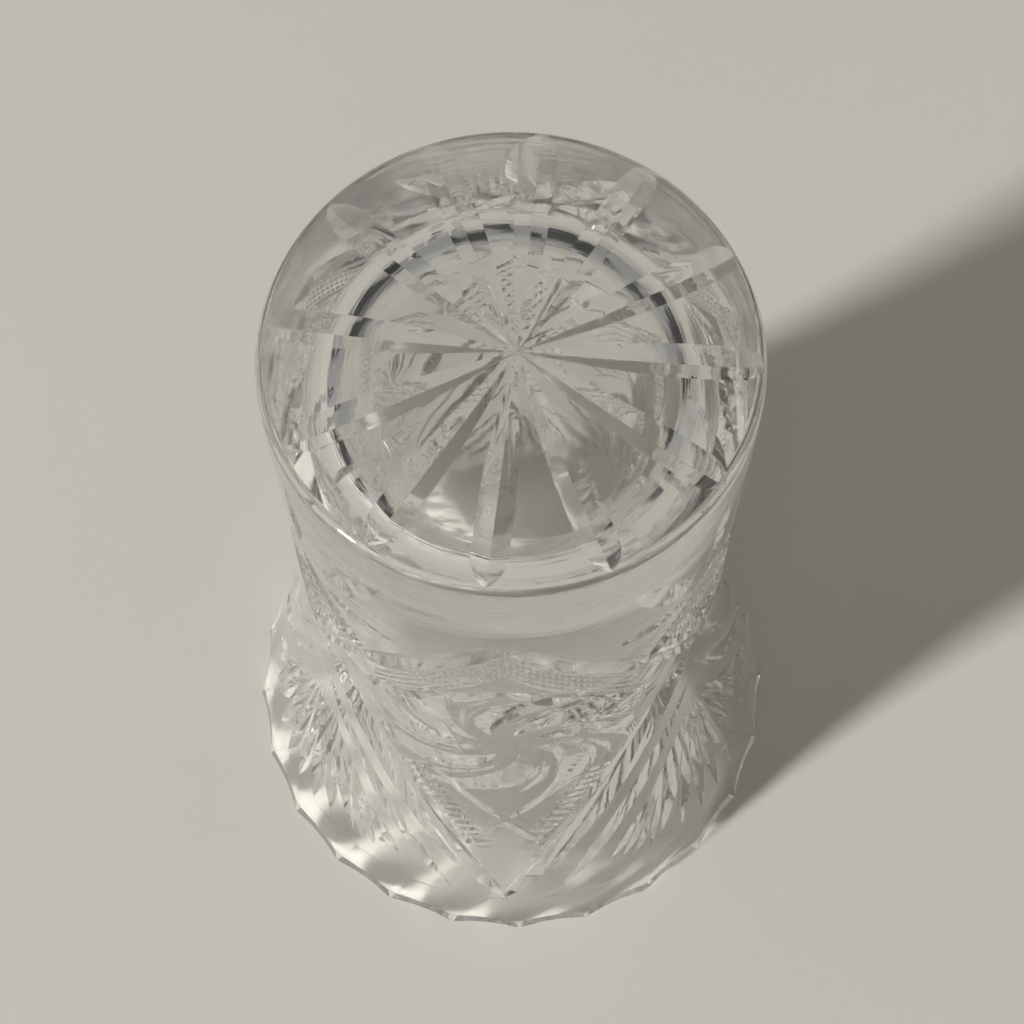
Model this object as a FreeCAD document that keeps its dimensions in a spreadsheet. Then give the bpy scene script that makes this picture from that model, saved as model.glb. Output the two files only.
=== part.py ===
import FreeCAD, Part
import math
import os
import Sketcher

# Mixing glass of cut crystal, one piece of glass. It stands on its scalloped rim
# (z = 0) with the star-cut base on top, the way it is put down to drain.

doc = FreeCAD.newDocument("MixingGlass")
V = FreeCAD.Vector

# ---------------------------------------------------------------- sizes (mm, degrees)
SIZES = [
    # blank
    ("glass_height", 150.0),
    ("rim_radius", 47.8),
    ("waist_radius", 35.3),
    ("waist_level", 84.0),
    ("base_radius", 36.4),
    ("shoulder_level", 140.0),
    ("base_edge_round", 1.6),
    ("rim_edge_round", 0.7),
    # cavity
    ("rim_wall", 3.8),
    ("waist_wall", 5.4),
    ("floor_wall", 5.6),
    ("floor_thickness", 11.0),
    ("floor_round", 14.0),
    # star on the base
    ("star_shift_x", 0.8),
    ("star_shift_y", 0.4),
    ("star_depth", 0.95),
    ("star_half_width", 2.7),
    ("star_full", 0.72),
    ("star_end", 0.985),
    ("star_tip", 0.10),
    ("star_rise", 0.15),
    # thumb cuts round the rim
    ("thumb_count", 24),
    ("thumb_depth", 1.05),
    ("thumb_cutter_radius", 30.0),
    ("thumb_top_level", 16.5),
    ("thumb_turn", 3.5),
    ("thumb_run_in", 5.0),
    # panels
    ("panel_count", 3),
    ("cut_half_angle", 55.0),
    ("cut_rise", 1.2),
    ("apex_level", 128.5),
    ("corner_level", 99.5),
    ("corner_angle", 38.5),
    ("peak_level", 119.0),
    ("side_level", 81.5),
    ("side_angle", 57.5),
    ("foot_level", 11.5),
    ("frame_depth", 1.7),
    ("chevron_depth", 1.5),
    ("inner_apex_level", 100.0),
    ("inner_corner_level", 81.0),
    ("inner_corner_angle", 41.0),
    ("inner_depth", 0.8),
    ("rhomb_top_level", 40.0),
    ("ladder_top_level", 66.0),
    ("ladder_top_angle", 44.0),
    ("ladder_depth", 0.8),
    # leaves above the small diamond between two panels
    ("leaf_root_level", 114.0),
    ("leaf_root_gap", 9.0),
    ("leaf_low_level", 114.5),
    ("leaf_low_angle", 33.0),
    ("leaf_high_level", 138.0),
    ("leaf_high_angle", 31.5),
    ("leaf_mid_level", 143.0),
    ("leaf_depth", 1.3),
    # fans between the panels
    ("fan_root_level", 50.0),
    ("fan_tip_level", 17.0),
    ("fan_ribs", 9),
    ("fan_spread", 27.0),
    ("fan_root_spread", 9.0),
    ("fan_depth", 0.9),
    ("fan_rise", 0.4),
    # whirling star inside a panel
    ("whirl_level", 76.5),
    ("whirl_vanes", 8),
    ("whirl_inner", 4.0),
    ("whirl_outer", 26.0),
    ("whirl_twist", 62.0),
    ("whirl_turn", 12.0),
    ("whirl_depth", 1.1),
]

# Directions of the hand-cut star rays, counter-clockwise from +X
RAYS = [85.7, 58.2, 27.8, -1.8, -33.4, -66.8, -95.3, -123.6, -154.5, 174.5, 141.3, 112.4]

sheet = doc.addObject("Spreadsheet::Sheet", "Sizes")
row = 1
for name, value in SIZES:
    sheet.set("A%d" % row, name)
    sheet.set("B%d" % row, str(value))
    sheet.setAlias("B%d" % row, name)
    row += 1
ray_names = []
for number, angle in enumerate(RAYS):
    name = "ray_angle_%02d" % (number + 1)
    sheet.set("A%d" % row, name)
    sheet.set("B%d" % row, str(angle))
    sheet.setAlias("B%d" % row, name)
    ray_names.append(name)
    row += 1
doc.recompute()


def size(name):
    return float(sheet.get(name))


# ---------------------------------------------------------------- outside and cavity profiles
def arc_radius(outer, inner, run):
    """Radius of the arc that is upright at the waist and reaches 'outer' after 'run'."""
    rise = outer - inner
    return (rise * rise + run * run) / (2.0 * rise)


def profile_arc(sketch, r_end, z_end, r_waist, z_waist):
    """Arc from the waist point to (r_end, z_end), upright at the waist."""
    radius = arc_radius(r_end, r_waist, abs(z_end - z_waist))
    centre = V(r_waist + radius, z_waist, 0)
    angle = math.atan2(z_end - z_waist, r_end - centre.x) % (2 * math.pi)
    first = min(angle, math.pi)
    last = max(angle, math.pi)
    return sketch.addGeometry(Part.ArcOfCircle(Part.Circle(centre, V(0, 0, 1), radius), first, last))


def line(sketch, x1, y1, x2, y2):
    return sketch.addGeometry(Part.LineSegment(V(x1, y1, 0), V(x2, y2, 0)))


def join(sketch, geo_a, pos_a, geo_b, pos_b):
    sketch.addConstraint(Sketcher.Constraint("Coincident", geo_a, pos_a, geo_b, pos_b))


def place_point(sketch, kind, geo, pos, value, label, expression):
    index = sketch.addConstraint(Sketcher.Constraint(kind, -1, 1, geo, pos, value))
    sketch.renameConstraint(index, label)
    sketch.setExpression("Constraints." + label, expression)


body = doc.addObject("PartDesign::Body", "GlassBlank")
body.Label = "Glass blank"
body.Placement = FreeCAD.Placement(V(0, 0, 0), FreeCAD.Rotation(V(0, 0, 1), 0))

height = size("glass_height")
rim_r = size("rim_radius")
waist_r = size("waist_radius")
waist_z = size("waist_level")
base_r = size("base_radius")
shoulder_z = size("shoulder_level")

outside = body.newObject("Sketcher::SketchObject", "OutsideProfile")
outside.AttachmentSupport = (doc.getObject("XZ_Plane"), [""])
outside.MapMode = "FlatFace"
doc.recompute()
g_rim = line(outside, 0, 0, rim_r, 0)
g_flare = profile_arc(outside, rim_r, 0, waist_r, waist_z)
g_upper = profile_arc(outside, base_r, shoulder_z, waist_r, waist_z)
g_wall = line(outside, base_r, shoulder_z, base_r, height)
g_base = line(outside, base_r, height, 0, height)
g_axis = line(outside, 0, height, 0, 0)
join(outside, g_rim, 1, -1, 1)
join(outside, g_rim, 2, g_flare, 2)
join(outside, g_flare, 1, g_upper, 2)
join(outside, g_upper, 1, g_wall, 1)
join(outside, g_wall, 2, g_base, 1)
join(outside, g_base, 2, g_axis, 1)
join(outside, g_axis, 2, g_rim, 1)
outside.addConstraint(Sketcher.Constraint("Horizontal", g_rim))
outside.addConstraint(Sketcher.Constraint("Vertical", g_wall))
outside.addConstraint(Sketcher.Constraint("Horizontal", g_base))
outside.addConstraint(Sketcher.Constraint("Vertical", g_axis))
outside.addConstraint(Sketcher.Constraint("Horizontal", g_flare, 3, g_flare, 1))
outside.addConstraint(Sketcher.Constraint("Horizontal", g_upper, 3, g_upper, 2))
place_point(outside, "DistanceX", g_rim, 2, rim_r, "rim", "Sizes.rim_radius")
place_point(outside, "DistanceX", g_flare, 1, waist_r, "waist_x", "Sizes.waist_radius")
place_point(outside, "DistanceY", g_flare, 1, waist_z, "waist_y", "Sizes.waist_level")
place_point(outside, "DistanceX", g_wall, 1, base_r, "base_x", "Sizes.base_radius")
place_point(outside, "DistanceY", g_wall, 1, shoulder_z, "shoulder_y", "Sizes.shoulder_level")
place_point(outside, "DistanceY", g_wall, 2, height, "top_y", "Sizes.glass_height")
doc.recompute()

blank = body.newObject("PartDesign::Revolution", "OutsideTurned")
blank.Profile = outside
blank.ReferenceAxis = (outside, ["V_Axis"])
blank.Angle = 360
doc.recompute()

bore_rim = rim_r - size("rim_wall")
bore_waist = waist_r - size("waist_wall")
bore_floor = base_r - size("floor_wall")
floor_z = height - size("floor_thickness")

cavity = body.newObject("Sketcher::SketchObject", "CavityProfile")
cavity.AttachmentSupport = (doc.getObject("XZ_Plane"), [""])
cavity.MapMode = "FlatFace"
doc.recompute()
c_mouth = line(cavity, 0, 0, bore_rim, 0)
c_flare = profile_arc(cavity, bore_rim, 0, bore_waist, waist_z)
c_wall = line(cavity, bore_waist, waist_z, bore_floor, floor_z)
c_floor = line(cavity, bore_floor, floor_z, 0, floor_z)
c_axis = line(cavity, 0, floor_z, 0, 0)
join(cavity, c_mouth, 1, -1, 1)
join(cavity, c_mouth, 2, c_flare, 2)
join(cavity, c_flare, 1, c_wall, 1)
join(cavity, c_wall, 2, c_floor, 1)
join(cavity, c_floor, 2, c_axis, 1)
join(cavity, c_axis, 2, c_mouth, 1)
cavity.addConstraint(Sketcher.Constraint("Horizontal", c_mouth))
cavity.addConstraint(Sketcher.Constraint("Horizontal", c_floor))
cavity.addConstraint(Sketcher.Constraint("Vertical", c_axis))
cavity.addConstraint(Sketcher.Constraint("Horizontal", c_flare, 3, c_flare, 1))
place_point(cavity, "DistanceX", c_mouth, 2, bore_rim, "mouth", "Sizes.rim_radius - Sizes.rim_wall")
place_point(cavity, "DistanceX", c_wall, 1, bore_waist, "waist_x", "Sizes.waist_radius - Sizes.waist_wall")
place_point(cavity, "DistanceY", c_wall, 1, waist_z, "waist_y", "Sizes.waist_level")
place_point(cavity, "DistanceX", c_wall, 2, bore_floor, "floor_x", "Sizes.base_radius - Sizes.floor_wall")
place_point(cavity, "DistanceY", c_wall, 2, floor_z, "floor_y", "Sizes.glass_height - Sizes.floor_thickness")
doc.recompute()

bore = body.newObject("PartDesign::Groove", "CavityTurned")
bore.Profile = cavity
bore.ReferenceAxis = (cavity, ["V_Axis"])
bore.Angle = 360
doc.recompute()


def ring_edge(shape, radius, level):
    """Name of the circular edge with this radius at this level."""
    for number, edge in enumerate(shape.Edges):
        curve = edge.Curve
        if not hasattr(curve, "Radius"):
            continue
        if abs(curve.Radius - radius) < 0.01 and abs(curve.Center.z - level) < 0.01:
            return "Edge%d" % (number + 1)
    raise ValueError("no ring edge of radius %.2f at level %.2f" % (radius, level))


def rounded(previous, label, radius, level, expression):
    fillet = body.newObject("PartDesign::Fillet", label)
    fillet.Base = (previous, [ring_edge(previous.Shape, radius, level)])
    fillet.setExpression("Radius", expression)
    body.Tip = fillet
    doc.recompute()
    return fillet


step = rounded(bore, "FloorRound", bore_floor, floor_z, "Sizes.floor_round")
step = rounded(step, "BaseEdgeRound", base_r, height, "Sizes.base_edge_round")
step = rounded(step, "RimOuterRound", rim_r, 0.0, "Sizes.rim_edge_round")
step = rounded(step, "RimInnerRound", bore_rim, 0.0, "Sizes.rim_edge_round")
print("blank volume", round(body.Shape.Volume), body.Shape.isValid())

# ---------------------------------------------------------------- points on the outside
flare_arc = arc_radius(rim_r, waist_r, waist_z)
upper_arc = arc_radius(base_r, waist_r, shoulder_z - waist_z)


def outer_radius(level):
    """Outside radius of the blank at a level above the rim."""
    if level < waist_z:
        return waist_r + flare_arc - math.sqrt(flare_arc ** 2 - (level - waist_z) ** 2)
    if level < shoulder_z:
        return waist_r + upper_arc - math.sqrt(upper_arc ** 2 - (level - waist_z) ** 2)
    return base_r


def outer_slope(level):
    if level < waist_z:
        return (level - waist_z) / math.sqrt(flare_arc ** 2 - (level - waist_z) ** 2)
    if level < shoulder_z:
        return (level - waist_z) / math.sqrt(upper_arc ** 2 - (level - waist_z) ** 2)
    return 0.0


def surface_point(angle, level):
    """Point on the outside; the angle turns from the front (-Y) towards +X."""
    a = math.radians(angle)
    r = outer_radius(level)
    return V(r * math.sin(a), -r * math.cos(a), level)


def surface_normal(angle, level):
    a = math.radians(angle)
    normal = V(math.sin(a), -math.cos(a), -outer_slope(level))
    return normal.normalize()


# ---------------------------------------------------------------- wheel cuts
half_angle = math.tan(math.radians(size("cut_half_angle")))
rise = size("cut_rise")


def wheel_cut(path, depth, steep=2.0, sections=7, lean=0.0, above=rise):
    """Tapered V cutter that follows a path of (angle, level) on the outside.

    path(t) gives the point for t from 0 to 1. The depth is greatest near the
    middle (moved by 'lean') and runs out of the glass at both ends."""
    wires = []
    for number in range(sections):
        t = number / (sections - 1.0)
        here = surface_point(*path(t))
        normal = surface_normal(*path(t))
        ahead = surface_point(*path(min(t + 0.02, 1.0)))
        behind = surface_point(*path(max(t - 0.02, 0.0)))
        along = (ahead - behind).normalize()
        side = along.cross(normal).normalize()
        u = 2.0 * t - 1.0
        u = u - lean * (1.0 - u * u)
        deep = depth * (1.0 - 1.08 * abs(u) ** steep)
        half = (deep + above) * half_angle
        bottom = here - normal * deep
        left = here + normal * above - side * half
        right = here + normal * above + side * half
        wires.append(Part.makePolygon([bottom, left, right, bottom]))
    return Part.makeLoft(wires, True, False)


def straight(angle_a, level_a, angle_b, level_b):
    """Straight path on the unrolled outside."""
    def path(t):
        return (angle_a + (angle_b - angle_a) * t, level_a + (level_b - level_a) * t)
    return path


def panel_turns():
    count = int(size("panel_count"))
    return [360.0 * number / count for number in range(count)]


def for_each_panel(shapes):
    """Repeats the cutters of one panel round the glass."""
    result = []
    for turn in panel_turns():
        for shape in shapes:
            copy = shape.copy()
            copy.rotate(V(0, 0, 0), V(0, 0, 1), turn)
            result.append(copy)
    return result


def mirrored(maker):
    """The same cut to the right and to the left of the panel centre."""
    return [maker(1.0), maker(-1.0)]


between = 180.0 / size("panel_count")


def frame_cuts():
    cuts = []
    cuts += mirrored(lambda s: wheel_cut(
        straight(-2.0 * s, size("apex_level") + 1.5, s * size("corner_angle"), size("corner_level")),
        size("chevron_depth"), 6.0))
    cuts += mirrored(lambda s: wheel_cut(
        straight(s * size("corner_angle"), size("corner_level"), s * between, size("peak_level")),
        size("inner_depth"), 6.0))
    cuts += mirrored(lambda s: wheel_cut(
        straight(-2.0 * s, size("foot_level") - 3.0, s * size("side_angle"), size("side_level")),
        size("frame_depth"), 6.0, 9))
    cuts += mirrored(lambda s: wheel_cut(
        straight(0.0, size("inner_apex_level"), s * size("inner_corner_angle"),
                 size("inner_corner_level")),
        size("inner_depth"), 6.0))
    cuts += mirrored(lambda s: wheel_cut(
        straight(-2.0 * s, size("rhomb_top_level") - 3.0, s * size("ladder_top_angle"),
                 size("ladder_top_level")),
        size("ladder_depth"), 6.0))
    return cuts


def leaf_cuts():
    cuts = []
    root = size("leaf_root_gap")
    low = size("leaf_low_angle")
    high = size("leaf_high_angle")
    for s in (1.0, -1.0):
        cuts.append(wheel_cut(
            straight(between - s * root, size("leaf_root_level"), between - s * low,
                     size("leaf_low_level")),
            size("leaf_depth") * 0.7, 2.0))
        cuts.append(wheel_cut(
            straight(between - s * root, size("leaf_root_level") + 5.0, between - s * high,
                     size("leaf_high_level")),
            size("leaf_depth"), 2.0, 7, -0.3))
    cuts.append(wheel_cut(
        straight(between, size("peak_level") + 1.0, between, size("leaf_mid_level")),
        size("leaf_depth"), 2.0))
    return cuts


def fan_cuts():
    cuts = []
    ribs = int(size("fan_ribs"))
    for number in range(ribs):
        k = 2.0 * number / (ribs - 1.0) - 1.0
        tip = between + k * size("fan_spread")
        tip_level = size("fan_tip_level") + 9.0 * k * k
        root = between + k * size("fan_root_spread")
        cuts.append(wheel_cut(
            straight(root, size("fan_root_level"), tip, tip_level), size("fan_depth"), 2.0, 7, 0.25,
            size("fan_rise")))
    return cuts


def whirl_cuts():
    cuts = []
    vanes = int(size("whirl_vanes"))
    inner = size("whirl_inner")
    outer = size("whirl_outer")
    for number in range(vanes):
        start = size("whirl_turn") + 360.0 * number / vanes

        def path(t, start=start):
            reach = inner + (outer - inner) * t
            bearing = math.radians(start + size("whirl_twist") * (1.0 - t))
            level = size("whirl_level") + reach * math.sin(bearing)
            angle = math.degrees(reach * math.cos(bearing) / waist_r)
            return (angle, level)
        cuts.append(wheel_cut(path, size("whirl_depth"), 2.0, 9, 0.1))
    return cuts


def cutter_set(name, label, shapes):
    """Keeps one family of cutters as one object of the tree."""
    item = doc.addObject("Part::Feature", name)
    item.Shape = Part.makeCompound(shapes)
    item.Placement = FreeCAD.Placement(V(0, 0, 0), FreeCAD.Rotation(V(0, 0, 1), 0))
    item.Label = label
    return item


# star: V rays that start from nothing at the centre of the star, keep their full width
# over the outer part of the base and end in a short tip at its edge
def star_ray(angle):
    a = math.radians(angle)
    out = V(math.cos(a), math.sin(a), 0)
    side = V(-math.sin(a), math.cos(a), 0)
    centre = V(size("star_shift_x"), size("star_shift_y"), height)
    lift = size("star_rise")
    spread = size("star_half_width") / size("star_depth")
    end = size("star_end")
    tip = size("star_tip")
    wires = []
    for t in (0.015, 0.14, 0.28, 0.43, 0.58, 0.73, 0.84, end - 0.07, end - 0.035, end - 0.01, end + 0.01):
        grown = math.sin(min(t / size("star_full"), 1.0) * math.pi / 2)
        left_over = (end - t) / tip
        fall = math.copysign(math.sqrt(abs(left_over)), left_over)
        deep = size("star_depth") * min(grown, fall)
        deep = max(deep, 0.02 - lift)
        here = centre + out * (base_r * t)
        half = (deep + lift) * spread
        bottom = here - V(0, 0, deep)
        left = here + side * half + V(0, 0, lift)
        right = here - side * half + V(0, 0, lift)
        wires.append(Part.makePolygon([bottom, left, right, bottom]))
    return Part.makeLoft(wires, True, True)


# thumb cuts: leaning cylinders that bite the outside of the rim
def thumb_cut(angle):
    radius = size("thumb_cutter_radius")
    top = size("thumb_top_level")
    a = math.radians(angle)
    outward = V(math.sin(a), -math.cos(a), 0)
    r_low = rim_r - size("thumb_depth")
    r_top = outer_radius(top)
    # a leaning cylinder has to stand off by its radius square to its own axis
    stand_off = radius / math.cos(math.atan2(r_low - r_top, top))
    low = outward * (r_low + stand_off)
    high = outward * (r_top + stand_off) + V(0, 0, top)
    axis = (high - low).normalize()
    below = size("thumb_run_in")
    start = low - axis * below
    return Part.makeCylinder(radius, (high - low).Length + below, start, axis)


thumb_turn = size("thumb_turn")
thumb_pitch = 360.0 / size("thumb_count")
thumb_angles = [thumb_turn + thumb_pitch * (n + 0.5) for n in range(int(size("thumb_count")))]


def wheel_family(name, label, shapes):
    """Cutters of one family, fused, so that crossing cutters meet cleanly."""
    parts = []
    for number, shape in enumerate(shapes):
        parts.append(cutter_set("%s_%02d" % (name, number + 1), "%s %d" % (label, number + 1), [shape]))
    family = doc.addObject("Part::MultiFuse", name)
    family.Label = label
    family.Shapes = parts
    doc.recompute()
    return family


def cut_away(glass, tool, name, label):
    """Cuts a tool from the glass and makes sure that it took glass away."""
    result = doc.addObject("Part::Cut", name)
    result.Label = label
    result.Base = glass
    result.Tool = tool
    result.Refine = False
    doc.recompute()
    shape = result.Shape
    taken = glass.Shape.Volume - shape.Volume
    print(name, "took", round(taken, 1), "mm3")
    if shape.isNull() or not shape.isValid() or len(shape.Solids) != 1 or taken <= 1.0:
        raise RuntimeError("cut %s failed" % name)
    return result


star = wheel_family("StarRay", "Star rays", [star_ray(size(name)) for name in ray_names])
thumbs = wheel_family("ThumbCut", "Thumb cuts", [thumb_cut(angle) for angle in thumb_angles])
leaves = wheel_family("LeafCut", "Leaf cuts", for_each_panel(leaf_cuts()))
whirls = wheel_family("WhirlVane", "Whirling stars", for_each_panel(whirl_cuts()))
fans = wheel_family("FanRib", "Fan ribs", for_each_panel(fan_cuts()))

glass = cut_away(body, star, "WithStar", "Glass with star")
glass = cut_away(glass, thumbs, "WithThumbs", "Glass with thumb cuts")
for number, cut in enumerate(frame_cuts()):
    tool = cutter_set("FrameMitre_%02d" % (number + 1), "Frame mitre %d" % (number + 1), for_each_panel([cut]))
    glass = cut_away(glass, tool, "WithMitre_%02d" % (number + 1), "Glass with mitre %d" % (number + 1))
glass = cut_away(glass, leaves, "WithLeaves", "Glass with leaf cuts")
glass = cut_away(glass, whirls, "WithWhirls", "Glass with whirling stars")
glass = cut_away(glass, fans, "MixingGlass", "mixing_glass")
glass.Placement = FreeCAD.Placement(V(0, 0, 0), FreeCAD.Rotation(V(0, 0, 1), 0))

# ---------------------------------------------------------------- checks and export
doc.recompute()
for item in doc.Objects:
    state = " ".join(item.State)
    if "Invalid" in state or "Error" in state:
        raise RuntimeError("%s is %s" % (item.Name, state))
final = glass.Shape
if final.isNull() or not final.isValid() or len(final.Solids) != 1:
    raise RuntimeError("the mixing glass is not one valid solid")
print("glass volume", round(final.Volume), "mm3, faces", len(final.Faces))
os.makedirs("parts", exist_ok=True)
final.exportStep("parts/mixing_glass.step")
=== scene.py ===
import math

import bpy
import numpy as np
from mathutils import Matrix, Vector
from mathutils.kdtree import KDTree


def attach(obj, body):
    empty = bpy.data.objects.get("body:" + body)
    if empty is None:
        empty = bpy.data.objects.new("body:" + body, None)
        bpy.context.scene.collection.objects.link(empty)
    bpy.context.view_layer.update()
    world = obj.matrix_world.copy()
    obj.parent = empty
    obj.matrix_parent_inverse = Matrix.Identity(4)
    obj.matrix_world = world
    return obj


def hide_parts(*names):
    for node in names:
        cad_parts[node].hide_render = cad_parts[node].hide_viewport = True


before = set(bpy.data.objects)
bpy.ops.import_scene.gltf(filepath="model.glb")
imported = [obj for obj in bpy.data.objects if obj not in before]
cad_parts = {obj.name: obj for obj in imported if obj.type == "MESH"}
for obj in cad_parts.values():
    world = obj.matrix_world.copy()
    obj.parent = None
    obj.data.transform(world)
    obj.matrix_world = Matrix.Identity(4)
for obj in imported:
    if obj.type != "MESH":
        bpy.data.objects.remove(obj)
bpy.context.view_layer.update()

bl_info = {
    "name": "Cut crystal mixing glass",
    "version": (1, 0, 0),
    "blender": (4, 5, 0),
    "location": "View3D > Sidebar > Crystal",
    "description": "Builds a cut crystal mixing glass, standing on its mouth, and its studio",
    "category": "Add Mesh",
}

MM = 0.001
# Facet number of the blank; cut facets count up from 1
SMOOTH = 0


def metres(name, default, description):
    """A length in metres."""
    return bpy.props.FloatProperty(name=name, default=default, unit="LENGTH", description=description)


def pieces(name, default, description):
    """A count of equal pieces."""
    return bpy.props.IntProperty(name=name, default=default, description=description)


def heading(name, default, description):
    """An angle, given in degrees."""
    radians = math.radians(default)
    return bpy.props.FloatProperty(name=name, default=radians, unit="ROTATION", description=description)


class CrystalSizes(bpy.types.PropertyGroup):
    """Sizes of the glass, in metres and radians."""

    height: metres("Height", 0.150, "Mouth to base")
    rim_radius: metres("Rim radius", 0.0478, "Outside of the mouth")
    waist_radius: metres("Waist radius", 0.0353, "Slimmest radius")
    waist_level: metres("Waist level", 0.084, "Waist above the mouth")
    base_radius: metres("Base radius", 0.0364, "Outside of the base")
    shoulder_level: metres("Shoulder level", 0.140, "Where the wall turns upright")
    base_round: metres("Base edge", 0.0016, "Rounding of the base edge")
    rim_round: metres("Rim edge", 0.0007, "Rounding of the rim edges")
    rim_wall: metres("Rim wall", 0.0038, "Wall at the mouth")
    waist_wall: metres("Waist wall", 0.0054, "Wall at the waist")
    floor_wall: metres("Floor wall", 0.0056, "Wall beside the cavity floor")
    floor_thickness: metres("Floor", 0.011, "Solid glass under the cavity")
    floor_round: metres("Floor corner", 0.014, "Corner of the cavity")
    star_depth: metres("Star depth", 0.00125, "Depth of a ray at its deepest")
    star_half_width: metres("Star half width", 0.0027, "Half width of a ray")
    thumb_count: pieces("Thumb cuts", 24, "Scallops round the mouth")
    thumb_depth: metres("Thumb depth", 0.00105, "Depth of a scallop at the rim")
    thumb_radius: metres("Thumb cutter", 0.030, "Radius of the scallop cutter")
    thumb_top: metres("Thumb top", 0.0165, "Level where a scallop runs out")
    thumb_turn: heading("Thumb turn", 3.5, "Direction of one ridge")
    panels: pieces("Panels", 3, "Cut panels round the glass")
    ladder_rungs: pieces("Ladder rungs", 14, "Rungs beside the ground rhomb")
    fan_ribs: pieces("Fan ribs", 9, "Ribs of the fan between two panels")
    whirl_vanes: pieces("Whirl vanes", 8, "Vanes of the whirling star")


# Directions of the hand-cut star rays, counter-clockwise from +X, in degrees
RAYS = (85.7, 58.2, 27.8, -1.8, -33.4, -66.8, -95.3, -123.6, -154.5, 174.5, 141.3, 112.4)
# The star's centre beside the middle of the base, in millimetres
STAR_SHIFT = (0.8, 0.4)
# Middle of every whirling star above the mouth, in millimetres
WHIRL_LEVEL = 76.5
# Direction of the edge between two panels, in degrees from the middle of a panel
PANEL_EDGE = 60.0
# Middle and reach of the small diamond between two panels, in millimetres
DIAMOND = (99.0, 15.0)
# Middle of the ground rhomb at the foot of a panel, in millimetres
RHOMB_LEVEL = 29.5
# Height of the lamp's aim above the floor, in metres
AIM = 0.05


def arc_radius(end, waist, run):
    """Radius of an arc that is upright at the waist and reaches 'end' after 'run'."""
    rise = end - waist
    return (rise * rise + run * run) / (2.0 * rise)


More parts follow.
